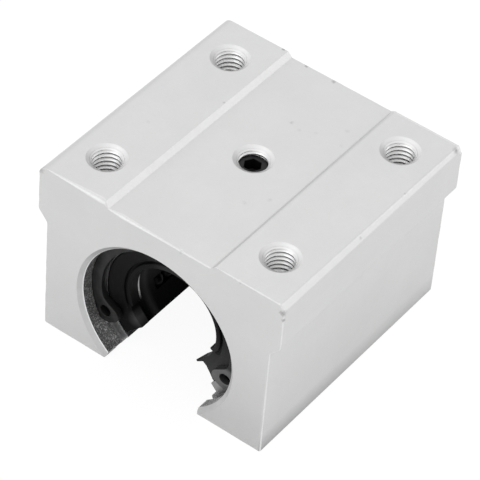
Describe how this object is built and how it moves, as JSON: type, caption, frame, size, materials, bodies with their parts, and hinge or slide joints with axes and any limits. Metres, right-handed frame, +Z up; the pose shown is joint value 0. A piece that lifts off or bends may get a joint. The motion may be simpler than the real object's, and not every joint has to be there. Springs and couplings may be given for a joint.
{
  "type": "linear bearing block",
  "caption": "Open linear bearing block: aluminium housing with a slotted ball bushing for a round rail held from below, and threaded holes in its top pads.",
  "frame": {"origin": "on the axis of the bearing's bore, half way along the block", "axes": "+Y along the bore, from the front end to the rear end; +Z up, from the slot to the mounting pads; +X to the right as seen from the front"},
  "size_m": [0.045, 0.045, 0.0316],
  "materials": {
    "housing_aluminium": "matte sawn and anodised aluminium, bright where it is machined",
    "bearing_steel": "ground bearing steel",
    "spring_steel": "dark phosphated spring steel",
    "black_steel": "black oxide steel",
    "black_resin": "black moulded resin",
    "black_rubber": "black seal rubber with a satin skin",
    "polished_balls": "polished bearing balls"
  },
  "bodies": {
    "root": {"housing": "housing_aluminium", "set_screw": "black_steel", "outer_sleeve": "bearing_steel", "ball_retainer": "black_resin", "front_end_seal": "black_rubber", "rear_end_seal": "black_rubber", "front_seal_washer": "bearing_steel", "rear_seal_washer": "bearing_steel", "front_retaining_ring": "spring_steel", "rear_retaining_ring": "spring_steel", "lower_right_loaded_balls": "polished_balls", "lower_right_return_balls": "polished_balls", "upper_right_loaded_balls": "polished_balls", "upper_right_return_balls": "polished_balls", "upper_left_loaded_balls": "polished_balls", "upper_left_return_balls": "polished_balls", "lower_left_loaded_balls": "polished_balls", "lower_left_return_balls": "polished_balls"}
  },
  "joints": []
}
